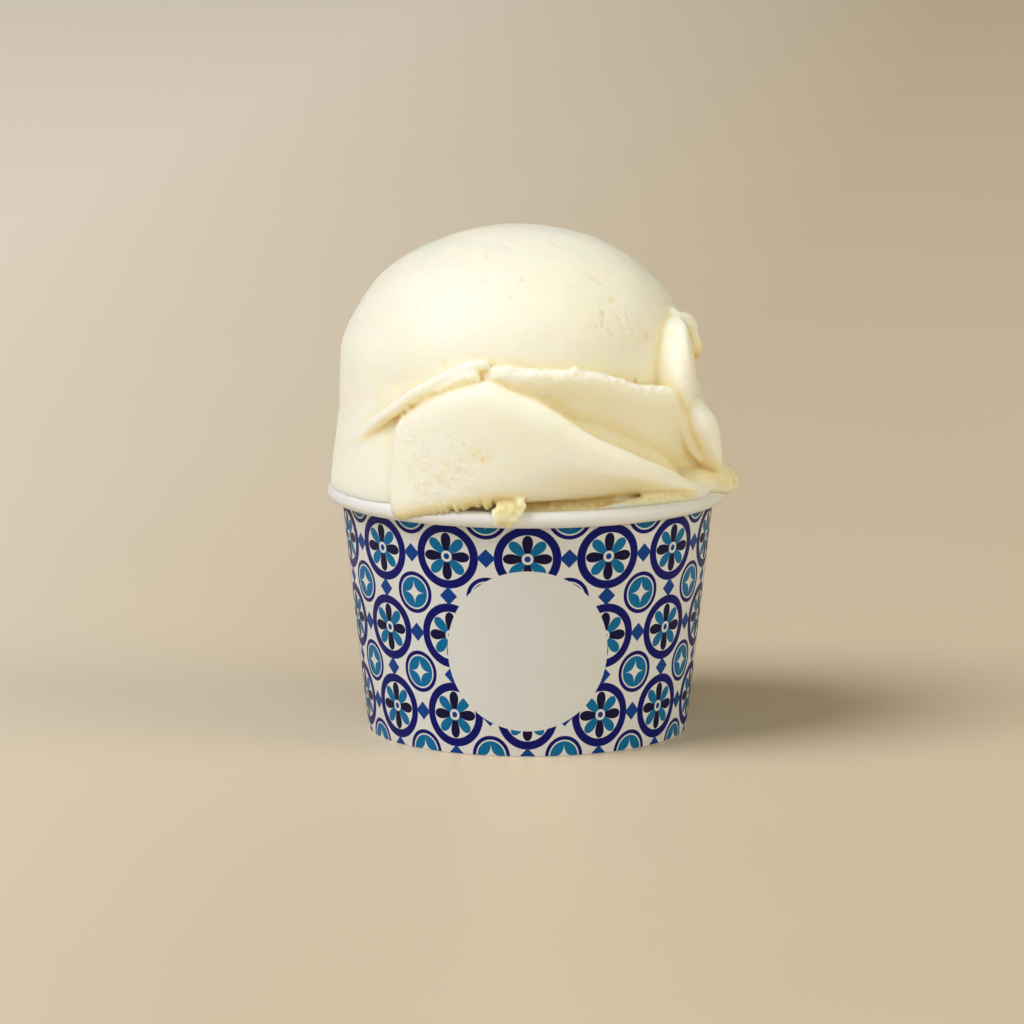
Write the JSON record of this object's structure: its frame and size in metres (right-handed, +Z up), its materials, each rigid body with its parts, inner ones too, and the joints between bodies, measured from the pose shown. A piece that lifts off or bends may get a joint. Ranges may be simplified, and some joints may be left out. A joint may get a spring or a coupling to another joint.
{
  "type": "gelato cup",
  "caption": "Paper cup with a rolled rim, heaped with pale cream gelato laid on in smooth folds over a domed mound.",
  "frame": {"origin": "centre of the cup's foot, on the surface it stands on", "axes": "+Z up the cup's axis; -Y is the front, with the round blank panel of the print; +X to the right of someone facing the front"},
  "size_m": [0.0865, 0.0882, 0.1073],
  "materials": {
    "printed_board": "satin coated board, white with a blue and teal print",
    "white_board": "satin coated white board",
    "gelato": "moist pale cream, soft sheen"
  },
  "bodies": {
    "root": {"cup_wall": "printed_board", "cup_base": "white_board", "gelato": "gelato"}
  },
  "joints": []
}
